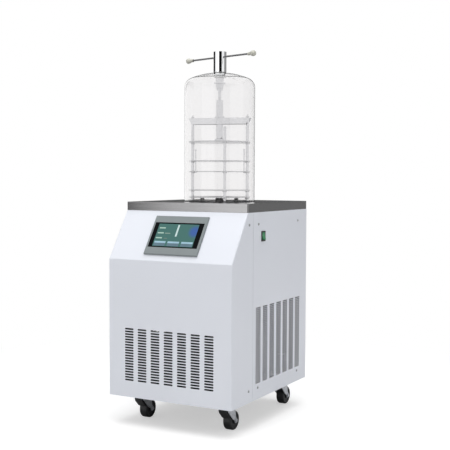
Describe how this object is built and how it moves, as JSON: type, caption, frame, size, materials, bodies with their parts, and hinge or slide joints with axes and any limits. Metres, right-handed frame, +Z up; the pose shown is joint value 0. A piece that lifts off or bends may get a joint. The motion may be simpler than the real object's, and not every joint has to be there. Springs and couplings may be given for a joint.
{
  "type": "freeze dryer",
  "caption": "Floor-standing freeze dryer with a sloping touch-screen console, a clear jar over a shelf rack, a top T-handle press and swivel casters.",
  "frame": {"origin": "on the floor, at the middle of the overall footprint", "axes": "+X to the right seen from the front, +Y to the rear, +Z up"},
  "size_m": [0.4891, 0.635, 1.303],
  "materials": {
    "powder_coat": "fine texture",
    "steel_sheet": "brushed",
    "trap_steel": "satin",
    "zinc_steel": "zinc plated",
    "screw_steel": "satin",
    "bezel_paint": "satin",
    "screen_glass": "gloss",
    "black_plastic": "matt",
    "rocker_green": "gloss",
    "tread_rubber": "matt",
    "foot_rubber": "matt",
    "seal_rubber": "satin",
    "acrylic": "clear",
    "handle_chrome": "polished",
    "ivory": "gloss",
    "rack_steel": "polished",
    "foam": "matt",
    "copper": "satin",
    "valve_brass": "satin",
    "compressor_paint": "gloss",
    "aluminium_fin": "satin",
    "control_paint": "satin"
  },
  "bodies": {
    "cabinet": {"front_cover": "powder_coat", "right_side_panel": "powder_coat", "left_side_panel": "powder_coat", "back_panel": "powder_coat", "base_pan": "control_paint", "frame": "zinc_steel", "cover_screws": "screw_steel", "deck_plate": "steel_sheet", "screen_bezel": "bezel_paint", "screen_glass": "screen_glass", "screen_housing": "black_plastic", "switch_frame": "black_plastic", "caster_plates": "zinc_steel", "cold_trap": "trap_steel", "trap_insulation": "foam", "trap_coil": "copper", "trap_baffle": "trap_steel", "vacuum_port": "trap_steel", "drain_valve": "valve_brass", "power_inlet": "black_plastic", "acrylic_jar": "acrylic", "jar_seals": "seal_rubber", "gland_body": "rack_steel", "gland_nut": "rack_steel", "beam_nut": "rack_steel", "head_beam": "rack_steel", "rack_rods": "rack_steel", "post_nuts": "screw_steel", "shelf_4": "rack_steel", "rack_base": "rack_steel", "rack_feet": "foot_rubber", "compressor": "compressor_paint", "condenser": "aluminium_fin", "fan_shroud": "zinc_steel", "fan_motor": "compressor_paint", "refrigerant_lines": "copper", "control_box": "control_paint"},
    "handle": {"handle_hub": "handle_chrome", "t_bar": "handle_chrome", "bar_knobs": "ivory", "drive_rod": "rack_steel"},
    "screw": {"press_screw": "rack_steel"},
    "plate": {"press_plate": "rack_steel", "press_foot": "rack_steel"},
    "second_shelf": {"shelf_2": "rack_steel"},
    "third_shelf": {"shelf_3": "rack_steel", "shelf_links": "rack_steel"},
    "rocker": {"switch_rocker": "rocker_green"},
    "fan": {"fan_rotor": "aluminium_fin"},
    "lever": {"drain_lever": "screw_steel"},
    "fork_body_front_left": {"fork_front_left": "zinc_steel"},
    "wheel_body_front_left": {"wheel_front_left": "tread_rubber"},
    "pedal_body_front_left": {"pedal_front_left": "black_plastic"},
    "fork_body_front_right": {"fork_front_right": "zinc_steel"},
    "wheel_body_front_right": {"wheel_front_right": "tread_rubber"},
    "pedal_body_front_right": {"pedal_front_right": "black_plastic"},
    "fork_body_rear_left": {"fork_rear_left": "zinc_steel"},
    "wheel_body_rear_left": {"wheel_rear_left": "tread_rubber"},
    "fork_body_rear_right": {"fork_rear_right": "zinc_steel"},
    "wheel_body_rear_right": {"wheel_rear_right": "tread_rubber"}
  },
  "joints": [
    {"name": "swivel_front_left", "type": "hinge", "parent": "cabinet", "child": "fork_body_front_left", "pos_m": [-0.168, -0.2145, 0.088], "axis": [0, 0, 1], "continuous": true},
    {"name": "roll_front_left", "type": "hinge", "parent": "fork_body_front_left", "child": "wheel_body_front_left", "pos_m": [-0.168, -0.1845, 0.0325], "axis": [1, 0, 0], "continuous": true},
    {"name": "brake_front_left", "type": "hinge", "parent": "fork_body_front_left", "child": "pedal_body_front_left", "pos_m": [-0.168, -0.2125, 0.0735], "axis": [1, 0, 0], "range_deg": [0, 15]},
    {"name": "swivel_front_right", "type": "hinge", "parent": "cabinet", "child": "fork_body_front_right", "pos_m": [0.168, -0.2145, 0.088], "axis": [0, 0, 1], "continuous": true},
    {"name": "roll_front_right", "type": "hinge", "parent": "fork_body_front_right", "child": "wheel_body_front_right", "pos_m": [0.168, -0.1845, 0.0325], "axis": [1, 0, 0], "continuous": true},
    {"name": "brake_front_right", "type": "hinge", "parent": "fork_body_front_right", "child": "pedal_body_front_right", "pos_m": [0.168, -0.2125, 0.0735], "axis": [1, 0, 0], "range_deg": [0, 15]},
    {"name": "swivel_rear_left", "type": "hinge", "parent": "cabinet", "child": "fork_body_rear_left", "pos_m": [-0.168, 0.2025, 0.088], "axis": [0, 0, 1], "continuous": true},
    {"name": "roll_rear_left", "type": "hinge", "parent": "fork_body_rear_left", "child": "wheel_body_rear_left", "pos_m": [-0.168, 0.2325, 0.0325], "axis": [1, 0, 0], "continuous": true},
    {"name": "swivel_rear_right", "type": "hinge", "parent": "cabinet", "child": "fork_body_rear_right", "pos_m": [0.168, 0.2025, 0.088], "axis": [0, 0, 1], "continuous": true},
    {"name": "roll_rear_right", "type": "hinge", "parent": "fork_body_rear_right", "child": "wheel_body_rear_right", "pos_m": [0.168, 0.2325, 0.0325], "axis": [1, 0, 0], "continuous": true},
    {"name": "power_switch", "type": "hinge", "parent": "cabinet", "child": "rocker", "pos_m": [0.24, -0.094, 0.653], "axis": [0, 1, 0], "range_deg": [0, 18]},
    {"name": "fan_spin", "type": "hinge", "parent": "cabinet", "child": "fan", "pos_m": [0, -0.22, 0.212], "axis": [0, 1, 0], "continuous": true},
    {"name": "drain_turn", "type": "hinge", "parent": "cabinet", "child": "lever", "pos_m": [0, 0.2855, 0.467], "axis": [0, 0, -1], "range_deg": [0, 90]},
    {"name": "handle_turn", "type": "hinge", "parent": "cabinet", "child": "handle", "pos_m": [0, 0.0325, 1.2], "axis": [0, 0, -1], "range_deg": [0, 2160]},
    {"name": "screw_travel", "type": "slide", "parent": "handle", "child": "screw", "axis": [0, 0, -1], "range_m": [0, 0.024]},
    {"name": "press_travel", "type": "slide", "parent": "cabinet", "child": "plate", "axis": [0, 0, -1], "range_m": [0, 0.024]},
    {"name": "second_shelf_travel", "type": "slide", "parent": "cabinet", "child": "second_shelf", "axis": [0, 0, -1], "range_m": [0, 0.016]},
    {"name": "third_shelf_travel", "type": "slide", "parent": "cabinet", "child": "third_shelf", "axis": [0, 0, -1], "range_m": [0, 0.008]}
  ],
  "couplings": [
    {"joint": "screw_travel", "follows": "handle_turn", "m_per_rad": 0.0006366},
    {"joint": "press_travel", "follows": "handle_turn", "m_per_rad": 0.0006366},
    {"joint": "second_shelf_travel", "follows": "handle_turn", "m_per_rad": 0.0004244},
    {"joint": "third_shelf_travel", "follows": "handle_turn", "m_per_rad": 0.0002122}
  ]
}
